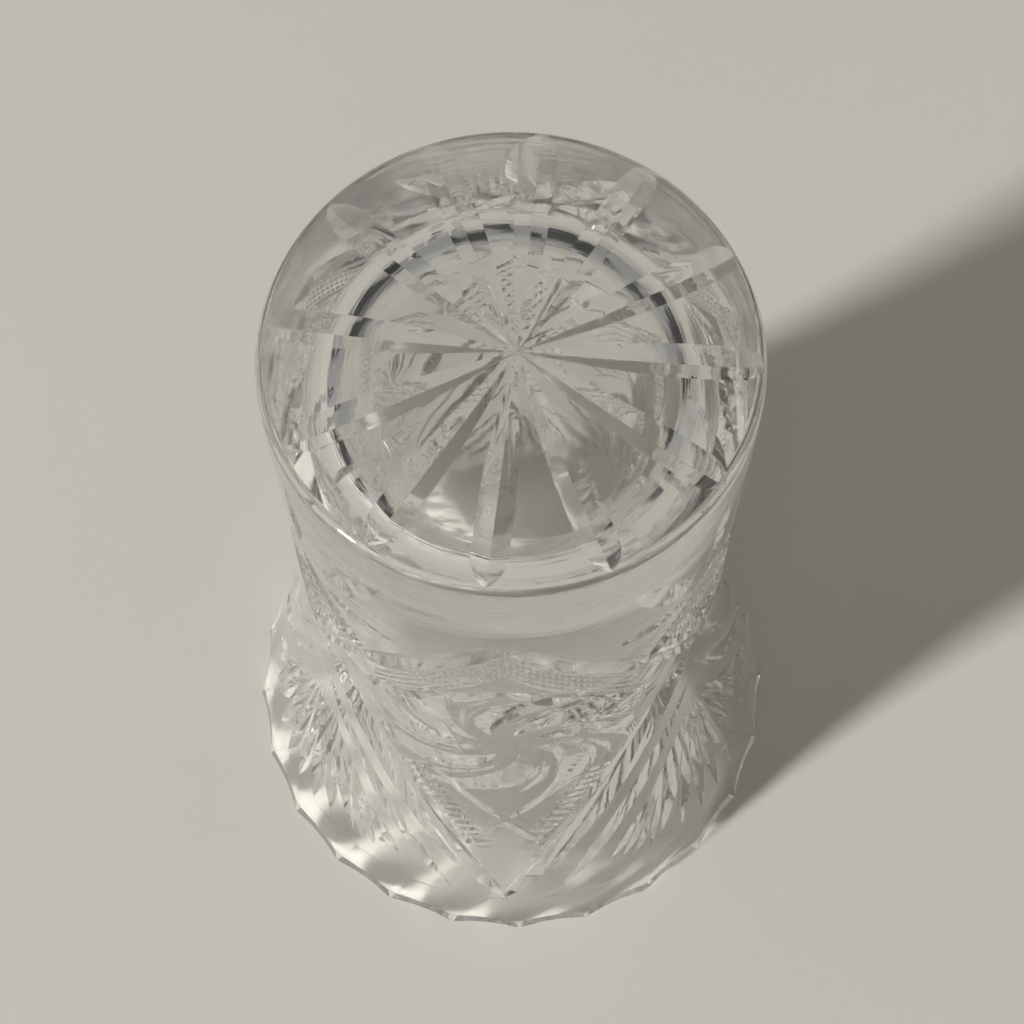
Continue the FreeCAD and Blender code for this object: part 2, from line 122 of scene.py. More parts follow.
class Form:
    """The turned form of the glass in millimetres: outside, cavity and their normals."""

    def __init__(self, sizes):
        self.height = sizes.height / MM
        self.rim = sizes.rim_radius / MM
        self.waist = sizes.waist_radius / MM
        self.level = sizes.waist_level / MM
        self.base = sizes.base_radius / MM
        self.shoulder = sizes.shoulder_level / MM
        self.base_round = sizes.base_round / MM
        self.rim_round = sizes.rim_round / MM
        self.bore_rim = self.rim - sizes.rim_wall / MM
        self.bore_waist = self.waist - sizes.waist_wall / MM
        self.bore_floor = self.base - sizes.floor_wall / MM
        self.floor = self.height - sizes.floor_thickness / MM
        self.floor_round = sizes.floor_round / MM
        self.flare_arc = arc_radius(self.rim, self.waist, self.level)
        self.upper_arc = arc_radius(self.base, self.waist, self.shoulder - self.level)
        self.bore_arc = arc_radius(self.bore_rim, self.bore_waist, self.level)

    def outside(self, z):
        """Radius and slope dr/dz of the outside."""
        z = np.asarray(z, float)
        run = z - self.level
        low = run < 0
        arc = np.where(low, self.flare_arc, self.upper_arc)
        reach = np.clip(run, -self.level, self.shoulder - self.level)
        root = np.sqrt(arc**2 - reach**2)
        slope = np.where(z > self.shoulder, 0.0, reach / root)
        return self.waist + arc - root, slope

    def bore(self, z):
        """Radius and slope of the cavity."""
        z = np.asarray(z, float)
        run = z - self.level
        reach = np.clip(run, -self.level, 0)
        root = np.sqrt(self.bore_arc**2 - reach**2)
        lean = (self.bore_floor - self.bore_waist) / (self.floor - self.level)
        upper = self.bore_waist + np.maximum(run, 0) * lean
        radius = np.where(run < 0, self.bore_waist + self.bore_arc - root, upper)
        return radius, np.where(run < 0, reach / root, lean)

    def on_arc(self, centre, radius, angle):
        """One profile row on an arc."""
        c, s = math.cos(angle), math.sin(angle)
        return (centre[0] + radius * c, centre[1] + radius * s, c, s)

    def profile(self, step):
        """Closed profile from the base centre, down the outside, in at the rim, up the
        cavity to its floor centre: rows of radius, level, normal radius, normal level."""
        rows = []
        top = self.height
        flat = self.base - self.base_round
        for r in np.linspace(0, flat, max(3, int(flat / (step * 2)))):
            rows.append((r, top, 0.0, 1.0))
        for a in np.linspace(0, math.pi / 2, 9)[1:]:
            s, c = math.sin(a), math.cos(a)
            rows.append((flat + self.base_round * s, top - self.base_round * (1 - c), s, c))
        low = self.rim_round * 0.9
        for z in np.linspace(top - self.base_round, low, int(self.height / step))[1:]:
            r, slope = self.outside(z)
            k = 1.0 / math.hypot(1.0, float(slope))
            rows.append((float(r), z, k, -float(slope) * k))
        start = rows[-1]
        first = math.atan2(start[3], start[2])
        round_r = low / (1.0 + math.sin(first))
        centre = (start[0] - round_r * math.cos(first), start[1] - round_r * math.sin(first))
        for a in np.linspace(first, -math.pi / 2, 6)[1:]:
            rows.append(self.on_arc(centre, round_r, a))
        r, slope = self.bore(low)
        k = 1.0 / math.hypot(1.0, float(slope))
        last = math.atan2(float(slope) * k, -k)
        if last > 0:
            last -= 2 * math.pi
        round_r = low / (1.0 + math.sin(last))
        centre = (float(r) - round_r * math.cos(last), low - round_r * math.sin(last))
        for a in np.linspace(-math.pi / 2, last, 6):
            rows.append(self.on_arc(centre, round_r, a))
        corner = self.floor - self.floor_round
        for z in np.linspace(low, corner, int(self.height / step))[1:]:
            r, slope = self.bore(z)
            k = 1.0 / math.hypot(1.0, float(slope))
            rows.append((float(r), z, -k, float(slope) * k))
        r0 = float(self.bore(corner)[0])
        for a in np.linspace(0, math.pi / 2, 13)[1:]:
            s, c = math.sin(a), math.cos(a)
            rows.append((r0 - self.floor_round * (1 - c), corner + self.floor_round * s, -c, -s))
        inner = r0 - self.floor_round
        for r in np.linspace(inner, 0, max(3, int(inner / (step * 2))))[1:]:
            rows.append((r, self.floor, 0.0, -1.0))
        return np.array(rows)

    def point(self, angle, z):
        """Points on the outside; the angle in degrees turns from -Y towards +X."""
        a = np.radians(angle)
        r, _ = self.outside(z)
        return np.stack([r * np.sin(a), -r * np.cos(a), z + 0 * r], -1)

    def normal(self, angle, z):
        """Unit normals of the outside at the same points."""
        a = np.radians(angle)
        _, slope = self.outside(z)
        n = np.stack([np.sin(a), -np.cos(a), -slope + 0 * a], -1)
        return n / np.linalg.norm(n, axis=-1, keepdims=True)


def unit(v):
    return v / np.linalg.norm(v, axis=-1, keepdims=True)


class Cutters:
    """A set of closed cutters that share one mesh; every facet keeps a number, so that it
    can be shaded smooth along its length and sharp at its edges."""

    counter = 1

    def __init__(self, ground=0.0):
        self.points = []
        self.faces = []
        self.facets = []
        self.used = 0
        self.ground = ground

    def add(self, points, faces, facets):
        """Adds one closed cutter, with its faces turned outward."""
        points = np.asarray(points, float)
        volume = 0.0
        for face in faces:
            a, b, c = (points[i] for i in face)
            volume += float(np.dot(a, np.cross(b, c)))
        if volume < 0:
            faces = [tuple(reversed(face)) for face in faces]
        self.points.append(points)
        self.faces += [tuple(i + self.used for i in face) for face in faces]
        numbers = {}
        for label in facets:
            if label not in numbers:
                numbers[label] = Cutters.counter
                Cutters.counter += 1
            self.facets.append(numbers[label])
        self.used += len(points)

    def trough(self, rings):
        """A bar through rings of points; facet k joins point k of every ring to k + 1."""
        rings = np.asarray(rings, float)
        count, corners = rings.shape[:2]
        faces = []
        facets = []
        for i in range(count - 1):
            for k in range(corners):
                a = i * corners + k
                b = i * corners + (k + 1) % corners
                c = b + corners
                d = a + corners
                faces += [(a, b, c), (a, c, d)]
                facets += ["side%d" % k] * 2
        last = (count - 1) * corners
        for k in range(1, corners - 1):
            faces += [(0, k + 1, k), (last, last + k, last + k + 1)]
            facets += ["start", "end"]
        self.add(rings.reshape(-1, 3), faces, facets)

    def mesh(self, name):
        """One mesh of all cutters, with the facet number and the ground finish of each face."""
        points = np.concatenate(self.points) * MM
        mesh = bpy.data.meshes.new(name)
        mesh.from_pydata([tuple(p) for p in points], [], self.faces)
        facet = mesh.attributes.new("facet", "INT", "FACE")
        facet.data.foreach_set("value", np.array(self.facets, np.int32))
        ground = mesh.attributes.new("ground", "FLOAT", "FACE")
        ground.data.foreach_set("value", np.full(len(self.facets), self.ground, np.float32))
        return mesh


def turned(points, degrees):
    """Points turned round the axis of the glass."""
    a = math.radians(degrees)
    turn = np.array([[math.cos(a), -math.sin(a), 0], [math.sin(a), math.cos(a), 0], [0, 0, 1]])
    return np.asarray(points) @ turn.T


def wheel_rings(form, angles, levels, depths, left=55.0, right=55.0, rise=1.2):
    """Rings of a V cutter along points of the outside. A negative depth lifts the cutter
    clear of the glass, so that the cut runs out to a point."""
    angles, levels, depths = (np.asarray(v, float) for v in (angles, levels, depths))
    here = form.point(angles, levels)
    normal = form.normal(angles, levels)
    along = unit(np.gradient(here, axis=0))
    side = unit(np.cross(along, normal))
    up = here + normal * rise
    wide_l = ((depths + rise) * math.tan(math.radians(left)))[:, None]
    wide_r = ((depths + rise) * math.tan(math.radians(right)))[:, None]
    bottom = here - normal * depths[:, None]
    return np.stack([bottom, up - side * wide_l, up + side * wide_r], 1)


def profile_depth(t, depth, steep=2.0, lean=0.0, over=1.08):
    """Depth along a cut; it falls below zero at both ends, where the wheel leaves the glass."""
    u = 2 * t - 1
    u = u - lean * (1 - u * u)
    return depth * (1 - over * np.abs(u) ** steep)


def straight(form, a0, z0, a1, z1, depth, steep=2.0, lean=0.0, count=11, **sides):
    """Rings of a cut that runs straight from one direction and level to another."""
    t = np.linspace(0, 1, count)
    deep = profile_depth(t, depth, steep, lean)
    return wheel_rings(form, a0 + (a1 - a0) * t, z0 + (z1 - z0) * t, deep, **sides)


def cut(glass, cutters, name):
    """Takes the cutters out of the glass."""
    mesh = cutters.mesh(name)
    tool = bpy.data.objects.new(name, mesh)
    bpy.context.scene.collection.objects.link(tool)
    before = len(glass.data.polygons)
    step = glass.modifiers.new(name, "BOOLEAN")
    step.operation = "DIFFERENCE"
    step.solver = "MANIFOLD"
    step.object = tool
    depsgraph = bpy.context.evaluated_depsgraph_get()
    result = bpy.data.meshes.new_from_object(glass.evaluated_get(depsgraph), depsgraph=depsgraph)
    glass.modifiers.clear()
    old = glass.data
    glass.data = result
    result.name = "mixing_glass"
    bpy.data.meshes.remove(old)
    bpy.data.objects.remove(tool)
    bpy.data.meshes.remove(mesh)
    facets = np.zeros(len(result.polygons), np.int32)
    result.attributes["facet"].data.foreach_get("value", facets)
    if facets.max() < min(cutters.facets) or len(result.polygons) < before // 2:
        raise RuntimeError("cutting %s failed: %d faces, then %d" % (name, before, len(result.polygons)))


def sizes():
    return bpy.context.scene.crystal_sizes


def the_glass():
    """The glass as it is cut so far."""
    glass = bpy.data.objects.get("mixing_glass_cut")
    if glass is None:
        raise RuntimeError("turn the blank first")
    return glass


def panel_turns():
    """Directions of the middles of all panels, in degrees."""
    count = sizes().panels
    return [360.0 * k / count for k in range(count)]


def cut_panels(name, ring_sets, ground=0.0):
    """Cuts one ring set after the other, each repeated round the glass."""
    for number, rings in enumerate(ring_sets):
        tool = Cutters(ground)
        for turn in panel_turns():
            for ring in rings:
                tool.trough(turned(ring, turn))
        cut(the_glass(), tool, "%s_%d" % (name, number))


class CRYSTAL_OT_blank(bpy.types.Operator):
    """Turns the blank: outside, rim, cavity and floor in one closed mesh."""

    bl_idname = "crystal.blank"
    bl_label = "Turn blank"

    def execute(self, context):
        form = Form(sizes())
        rows = form.profile(2.4)
        around = 240
        count = len(rows) - 2
        turn = 2 * math.pi * np.arange(around) / around
        points = [(0.0, 0.0, rows[0, 1])]
        for r, z in rows[1:-1, :2]:
            points += list(zip(r * np.sin(turn), -r * np.cos(turn), np.full(around, z)))
        points.append((0.0, 0.0, rows[-1, 1]))
        faces = [(0, 1 + k, 1 + (k + 1) % around) for k in range(around)]
        for i in range(count - 1):
            a = 1 + i * around
            b = a + around
            for k in range(around):
                n = (k + 1) % around
                faces.append((a + k, b + k, b + n, a + n))
        last = 1 + (count - 1) * around
        end = len(points) - 1
        faces += [(end, last + (k + 1) % around, last + k) for k in range(around)]
        mesh = bpy.data.meshes.new("mixing_glass")
        mesh.from_pydata([tuple(c * MM for c in p) for p in points], [], faces)
        facet = mesh.attributes.new("facet", "INT", "FACE")
        facet.data.foreach_set("value", np.full(len(faces), SMOOTH, np.int32))
        mesh.attributes.new("ground", "FLOAT", "FACE")
        glass = bpy.data.objects.new("mixing_glass_cut", mesh)
        context.scene.collection.objects.link(glass)
        return {"FINISHED"}


class CRYSTAL_OT_star(bpy.types.Operator):
    """Cuts the twelve rays of the star into the base."""

    bl_idname = "crystal.star"
    bl_label = "Cut base star"

    def execute(self, context):
        s = sizes()
        form = Form(s)
        deep = s.star_depth / MM
        half = s.star_half_width / MM
        for number, angle in enumerate(RAYS):
            a = math.radians(angle)
            out = np.array([math.cos(a), math.sin(a), 0.0])
            side = np.array([-math.sin(a), math.cos(a), 0.0])
            centre = np.array([STAR_SHIFT[0], STAR_SHIFT[1], form.height])
            # a ray widens to 0.72 of the radius, then ends in a rounded tip
            t = np.linspace(-0.02, 1.06, 28)
            grow = np.sin(np.clip(t / 0.72, -0.2, 1.0) * math.pi / 2)
            end = np.clip((0.985 - t) / 0.10, -0.3, 1.0)
            d = deep * np.minimum(grow, np.sign(end) * np.sqrt(np.abs(end)))
            lift = np.array([0.0, 0.0, 0.6])
            rings = []
            for u, v in zip(t, d):
                here = centre + out * form.base * u
                wide = side * (half / deep * (v + lift[2]))
                rings.append([here - [0, 0, v], here + wide + lift, here - wide + lift])
            tool = Cutters()
            tool.trough(rings)
            cut(the_glass(), tool, "ray_%d" % number)
        return {"FINISHED"}


class CRYSTAL_OT_thumbs(bpy.types.Operator):
    """Cuts the scallops round the outside of the mouth."""

    bl_idname = "crystal.thumbs"
    bl_label = "Cut rim scallops"

    def execute(self, context):
        s = sizes()
        form = Form(s)
        radius = s.thumb_radius / MM
        top = s.thumb_top / MM
        pitch = 360.0 / s.thumb_count
        r_low = form.rim - s.thumb_depth / MM
        r_top = float(form.outside(top)[0])
        # a leaning cylinder stands off by its radius square to its own axis
        stand_off = radius / math.cos(math.atan2(r_low - r_top, top))
        low = np.array([0.0, -(r_low + stand_off), 0.0])
        high = np.array([0.0, -(r_top + stand_off), top])
        axis = unit(high - low)
        across = np.array([1.0, 0.0, 0.0])
        inward = np.cross(axis, across)
        if inward[1] < 0:
            inward = -inward
        sweep = np.radians(np.linspace(-22, 22, 27))
        rings = []
        for along in (-4.0, float(np.linalg.norm(high - low))):
            centre = low + axis * along
            arc = [centre + radius * (inward * math.cos(b) + across * math.sin(b)) for b in sweep]
            back = centre + inward * radius * 0.7
            rings.append(arc + [back + across * radius * 0.3, back - across * radius * 0.3])
        rings = np.array(rings)
        for group in (0, 1):
            tool = Cutters()
            for k in range(group, s.thumb_count, 2):
                turn = math.degrees(s.thumb_turn) + pitch * (k + 0.5)
                first = Cutters.counter
                tool.trough(turned(rings, turn))
                # the round part of one scallop is one facet
                last = first + len(sweep) - 1
                tool.facets = [first if first <= f < last else f for f in tool.facets]
            cut(the_glass(), tool, "thumbs_%d" % group)
        return {"FINISHED"}


# Straight wheel cuts of one panel; every one has a mirror twin on the other side of the
# panel. A row holds: start direction and level, end direction and level, depth, how
# abruptly it runs out, where it is deepest, half angles to its left and to its right.
FRAME_CUTS = (
    (-1.5, 124.8, 38.5, 95.5, 1.30, 8.0, 0.0, 73.0, 42.0),
    (-1.0, 103.5, 41.0, 82.0, 0.95, 6.0, 0.0, 76.0, 45.0),
    (38.5, 98.0, 60.0, 118.0, 1.10, 6.0, 0.0, 62.0, 62.0),
    (38.5, 98.0, 60.0, 80.0, 0.90, 6.0, 0.0, 55.0, 55.0),
    (-1.5, 9.5, 57.5, 81.5, 1.70, 5.0, 0.1, 62.0, 60.0),
    (6.0, 24.5, 50.0, 80.0, 1.15, 4.0, 0.1, 50.0, 68.0),
    (12.0, 11.5, 58.0, 65.0, 1.00, 3.0, 0.0, 58.0, 62.0),
    (0.5, 41.5, 21.0, 60.5, 0.60, 8.0, 0.0, 58.0, 50.0),
    (-0.5, 41.0, 11.0, 29.5, 0.50, 14.0, 0.0, 55.0, 55.0),
    (11.0, 29.5, -0.5, 11.0, 0.50, 14.0, 0.0, 55.0, 55.0),
    (18.0, 101.0, 22.0, 91.5, 0.45, 4.0, 0.0, 70.0, 66.0),
)

# Cuts that lie on both sides of the diamond between two panels, with the same columns
LEAF_CUTS = (
    (51.0, 114.0, 26.5, 115.0, 1.00, 2.4, -0.2, 62.0, 62.0),
    (50.0, 118.5, 28.5, 138.0, 1.40, 2.6, -0.3, 66.0, 66.0),
    (60.0, 121.0, 60.0, 144.0, 1.20, 2.6, -0.3, 60.0, 60.0),
)

# Where the chevron of small diamonds lies: upper and lower level at the middle of the
# panel, their fall for every degree to the side, and the last direction
CHEVRON = (122.8, 0.76, 110.2, 0.65, 36.0)


def table_sets(form, table):
    """Ring sets for a table of straight cuts and their mirror twins."""
    sets = []
    for a0, z0, a1, z1, depth, steep, lean, left, right in table:
        run = math.hypot(math.radians(a1 - a0) * form.waist, z1 - z0)
        count = max(9, int(run / 2.5))
        shape = (depth, steep, lean, count)
        sets.append([straight(form, a0, z0, a1, z1, *shape, left=left, right=right, rise=0.5)])
        between_panels = a0 == a1 == PANEL_EDGE
        if not between_panels:
            sets.append([straight(form, -a0, z0, -a1, z1, *shape, left=right, right=left, rise=0.5)])
    return sets


def hatch(form, inside, slope, offsets, reach, depth, half):
    """Parallel lines 'level = offset + slope * direction' where 'inside' holds. They come
    as two sets, so that neighbours never touch within one set."""
    sets = ([], [])
    a = np.linspace(reach[0], reach[1], 721)
    for index, offset in enumerate(offsets):
        kept = a[inside(a, offset + slope * a)]
        if len(kept) < 12:
            continue
        first, last = kept[0], kept[-1]
        run = math.hypot(math.radians(last - first) * form.waist, slope * (last - first))
        count = max(4, int(run / 2.0))
        ends = (first, offset + slope * first, last, offset + slope * last)
        line = straight(form, *ends, depth, 20.0, 0.0, count, left=half, right=half, rise=0.2)
        sets[index % 2].append(line)
    return [rings for rings in sets if rings]


class CRYSTAL_OT_frames(bpy.types.Operator):
    """Cuts the mitres that frame and divide the panels."""

    bl_idname = "crystal.frames"
    bl_label = "Cut frames"

    def execute(self, context):
        cut_panels("frame", table_sets(Form(sizes()), FRAME_CUTS))
        return {"FINISHED"}


class CRYSTAL_OT_leaves(bpy.types.Operator):
    """Cuts the leaves above the small diamonds and the fans below them."""

    bl_idname = "crystal.leaves"
    bl_label = "Cut leaves and fans"

    def execute(self, context):
        form = Form(sizes())
        cut_panels("leaf", table_sets(form, LEAF_CUTS))
        sets = []
        for k in np.linspace(-1, 1, sizes().fan_ribs):
            ends = (PANEL_EDGE + 4 * k, 52.0, PANEL_EDGE + 27 * k, 10.0 + 9.0 * k * k)
            sets.append([straight(form, *ends, 0.9, lean=0.25, count=15, left=68.0, right=66.0, rise=0.4)])
        # a small fan stands beside each lower mitre
        for m in (1.0, -1.0):
            for k in range(4):
                ends = ((46.0 - 0.9 * k) * m, 38.0 - k, (36.5 - 3.4 * k) * m, 14.0 + 1.2 * k)
                sets.append([straight(form, *ends, 0.6, lean=0.3, left=66.0, right=66.0, rise=0.4)])
        cut_panels("fan", sets)
        return {"FINISHED"}


class CRYSTAL_OT_whirl(bpy.types.Operator):
    """Cuts the whirling star inside every panel, with its feathers."""

    bl_idname = "crystal.whirl"
    bl_label = "Cut whirling stars"

    def vane(self, form, start, inner, outer, twist, depth, left, right):
        """A curved cut from the inner to the outer reach, ending in the start direction."""
        t = np.linspace(0, 1, 15)
        reach = inner + (outer - inner) * t
        bearing = np.radians(start + twist * (1 - t))
        level = WHIRL_LEVEL + reach * np.sin(bearing)
        angle = np.degrees(reach * np.cos(bearing) / form.waist)
        return wheel_rings(form, angle, level, profile_depth(t, depth, 2.0, 0.1), left, right, 0.4)

    def execute(self, context):
        form = Form(sizes())
        count = sizes().whirl_vanes
        starts = [12.0 + 360.0 / count * n for n in range(count)]
        sets = [[self.vane(form, start, 4.0, 26.0, 62.0, 1.3, 74.0, 50.0)] for start in starts]
        for k in range(3):
            back = 9.0 * (k + 1)
            shape = (9.0 + 2.0 * k, 24.0 - 1.6 * k, 38.0, 0.34, 66.0, 60.0)
            sets.append([self.vane(form, start - back, *shape) for start in starts])
        almond = straight(form, -21.0, 88.0, -11.0, 69.0, 0.85, left=66.0, right=60.0, rise=0.4)
        sets.append([almond])
        ribs = []
        for k in range(6):
            ends = (-21.5 + 1.1 * k, 84.6 - 2.2 * k, -13.5 + 1.1 * k, 83.0 - 2.2 * k)
            ribs.append(straight(form, *ends, 0.35, rise=0.3))
        sets.append(ribs)
        # straight rays fan out to the upper right of the star
        for odd in (0, 1):
            rays = []
            for k in range(odd, 8, 2):
                bearing = math.radians(64.0 - 7.5 * k)
                near = 8.0 + 5.0 * (k % 4 >= 2)
                ends = []
                for reach in (near, 24.0):
                    ends.append(6.0 + math.degrees(reach * math.cos(bearing) / form.waist))
                    ends.append(75.0 + reach * math.sin(bearing))
                rays.append(straight(form, *ends, 0.34, lean=0.2, left=70.0, right=66.0, rise=0.2))
            sets.append(rays)
        cut_panels("whirl", sets)
        return {"FINISHED"}


class CRYSTAL_OT_hatching(bpy.types.Operator):
    """Cuts the fine diamonds of the chevron, the ladders beside the ground rhomb and the
    small diamond between two panels."""

    bl_idname = "crystal.hatching"
    bl_label = "Cut diamonds and ladders"

    def execute(self, context):
        form = Form(sizes())
        high, high_fall, low, low_fall, side = CHEVRON

        def in_chevron(a, z):
            across = np.abs(a)
            return (across < side) & (z < high - high_fall * across) & (z > low - low_fall * across)

        def in_diamond(a, z):
            return np.abs(a - PANEL_EDGE) / 17.5 + np.abs(z - DIAMOND[0]) / DIAMOND[1] < 1

        def in_facet(a, z):
            return (a > 13) & (a < 22) & (z > 50) & (z < 76)

        fine = []
        for slope in (0.7, -0.7):
            fine += hatch(form, in_chevron, slope, np.arange(84.0, 125.0, 2.3), (-40, 40), 0.36, 52.0)
        fine += hatch(form, in_facet, 0.5, np.arange(42.0, 72.0, 1.7), (10, 25), 0.3, 50.0)
        cut_panels("fine", fine, ground=1.0)
        sets = []
        for slope in (0.9, -0.9):
            middle = DIAMOND[0] - slope * PANEL_EDGE
            offsets = middle + np.arange(-14.0, 15.0, 3.4)
            sets += hatch(form, in_diamond, slope, offsets, (40, 80), 0.45, 66.0)
        count = sizes().ladder_rungs
        for m in (1.0, -1.0):
            rungs = []
            for k in range(count):
                t = k / (count - 1.0)
                level = 57.0 - 27.0 * t
                outer = (31.5 - 24.0 * t) * m
                inner = (20.5 - 19.0 * t) * m
                ends = (outer, level - 0.6, inner, level + 0.8)
                rungs.append(straight(form, *ends, 0.50, 5.0, count=7, left=54.0, right=54.0, rise=0.2))
            sets.append(rungs)
        cut_panels("hatch", sets)
        return {"FINISHED"}


class CRYSTAL_OT_polish(bpy.types.Operator):
    """Gives the glass its true normals: round where it was turned, crisp where it was cut."""

    bl_idname = "crystal.polish"
    bl_label = "Polish"

    def execute(self, context):
        glass = the_glass()
        mesh = glass.data
        form = Form(sizes())
        rows = form.profile(0.05)
        tree = KDTree(len(rows))
        for number, row in enumerate(rows):
            tree.insert((row[0], row[1], 0.0), number)
        tree.balance()
        count = len(mesh.vertices)
        points = np.zeros(count * 3, np.float32)
        mesh.vertices.foreach_get("co", points)
        points = points.reshape(-1, 3).astype(float) / MM
        facet = np.zeros(len(mesh.polygons), np.int32)
        mesh.attributes["facet"].data.foreach_get("value", facet)
        normal = np.zeros(len(mesh.polygons) * 3, np.float32)
        mesh.polygons.foreach_get("normal", normal)
        normal = normal.reshape(-1, 3).astype(float)
        area = np.zeros(len(mesh.polygons), np.float32)
        mesh.polygons.foreach_get("area", area)
        total = np.zeros(len(mesh.polygons), np.int32)
        mesh.polygons.foreach_get("loop_total", total)
        corner = np.zeros(len(mesh.loops), np.int32)
        mesh.loops.foreach_get("vertex_index", corner)
        owner = np.repeat(np.arange(len(total)), total)
        key = corner.astype(np.int64) * (int(facet.max()) + 1) + facet[owner]
        # corners that share a point and a facet share one normal, weighted by area
        _, group = np.unique(key, return_inverse=True)
        summed = np.zeros((group.max() + 1, 3))
        np.add.at(summed, group, normal[owner] * area[owner][:, None])
        loops = summed[group]
        length = np.linalg.norm(loops, axis=1, keepdims=True)
        loops = np.where(length > 1e-12, loops / np.maximum(length, 1e-12), normal[owner])
        # where the blank is left uncut, the normal is that of its profile
        round_loops = np.nonzero(facet[owner] == SMOOTH)[0]
        radius = np.hypot(points[:, 0], points[:, 1])
        turned_normal = np.zeros((count, 3))
        for v in np.unique(corner[round_loops]):
            _, index, _ = tree.find((radius[v], points[v, 2], 0.0))
            row = rows[index]
            r = max(radius[v], 1e-9)
            turned_normal[v] = (row[2] * points[v, 0] / r, row[2] * points[v, 1] / r, row[3])
        loops[round_loops] = turned_normal[corner[round_loops]]
        mesh.polygons.foreach_set("use_smooth", np.ones(len(total), bool))
        mesh.normals_split_custom_set([tuple(v) for v in loops])
        mesh.update()
        print("glass faces", len(mesh.polygons), "points", count)
        return {"FINISHED"}


def add_node(tree, kind, settings=(), **inputs):
    """Adds a node, makes its settings and feeds its inputs with values or links. An input
    is given by its name, or by its number after an underscore."""
    made = tree.nodes.new(kind)
    for name, value in dict(settings).items():
        setattr(made, name, value)
    for name, value in inputs.items():
        key = int(name[1:]) if name[0] == "_" else name.replace("_", " ")
        socket = made.inputs[key]
        if isinstance(value, Wire):
            tree.links.new(value.socket, socket)
        else:
            socket.default_value = value
    return made


class Wire:
    """A shader socket that can be used in Python expressions."""

    def __init__(self, tree, socket):
        self.tree = tree
        self.socket = socket

    def node(self, kind, output, settings=(), **inputs):
        """Adds a node to the same tree and gives back one of its outputs."""
        made = add_node(self.tree, kind, settings, **inputs)
        return Wire(self.tree, made.outputs[output])

    def maths(self, operation, *values):
        inputs = {"_%d" % n: v for n, v in enumerate(values)}
        return self.node("ShaderNodeMath", "Value", {"operation": operation}, **inputs)

    def __add__(self, other):
        return self.maths("ADD", self, other)

    __radd__ = __add__

    def __sub__(self, other):
        return self.maths("SUBTRACT", self, other)

    def __rsub__(self, other):
        return self.maths("SUBTRACT", other, self)

    def __mul__(self, other):
        return self.maths("MULTIPLY", self, other)

    __rmul__ = __mul__

    def __truediv__(self, other):
        return self.maths("DIVIDE", self, other)

    def __rtruediv__(self, other):
        return self.maths("DIVIDE", other, self)

    def __abs__(self):
        return self.maths("ABSOLUTE", self)

    def step(self, low, high):
        """Smooth step from 0 at 'low' to 1 at 'high'."""
        settings = {"interpolation_type": "SMOOTHSTEP"}
        return self.node("ShaderNodeMapRange", "Result", settings, Value=self, From_Min=low, From_Max=high)

    def split(self):
        made = add_node(self.tree, "ShaderNodeSeparateXYZ", _0=self)
        return [Wire(self.tree, out) for out in made.outputs]

    def joined(self, x, y, z):
        return self.node("ShaderNodeCombineXYZ", "Vector", X=x, Y=y, Z=z)

    def noise(self, x, y, z, scale=1.0, detail=2.0):
        """Noise from 0 to 1 at the given coordinates."""
        where = self.joined(x, y, z)
        return self.node("ShaderNodeTexNoise", "Fac", Vector=where, Scale=scale, Detail=detail)

    def into(self, socket):
        self.tree.links.new(self.socket, socket)


